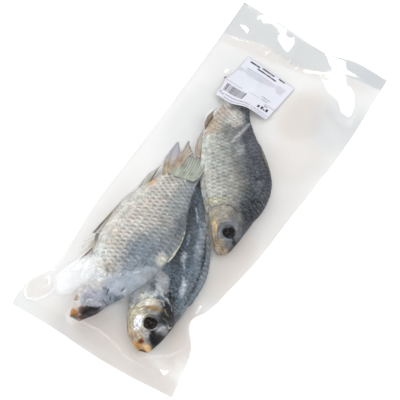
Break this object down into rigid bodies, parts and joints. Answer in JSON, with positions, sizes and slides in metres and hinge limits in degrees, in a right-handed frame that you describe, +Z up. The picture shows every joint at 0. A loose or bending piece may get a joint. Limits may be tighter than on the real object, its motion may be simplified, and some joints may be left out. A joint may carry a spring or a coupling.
{
  "type": "pack of dried crucian carp",
  "caption": "Long flat clear film pouch, sealed at both ends, holding whole dried crucian carp that lie on their sides, with a paper scale label stuck to its top face.",
  "frame": {"origin": "middle of the box around the pack, on its underside", "axes": "+Z up from the counter, +Y along the pouch towards the end with the label, +X towards the backs of the fish"},
  "size_m": [0.18, 0.4102, 0.031],
  "materials": {
    "pouch_film": "clear slack film, glossy",
    "label_paper": "smooth coated thermal paper",
    "fish_skin": "dried silvery skin and scales, satin",
    "fish_fin": "dried translucent fin, satin",
    "fish_eye": "glossy, partly clouded"
  },
  "bodies": {
    "root": {"pouch": "pouch_film", "label": "label_paper"}
  },
  "joints": []
}
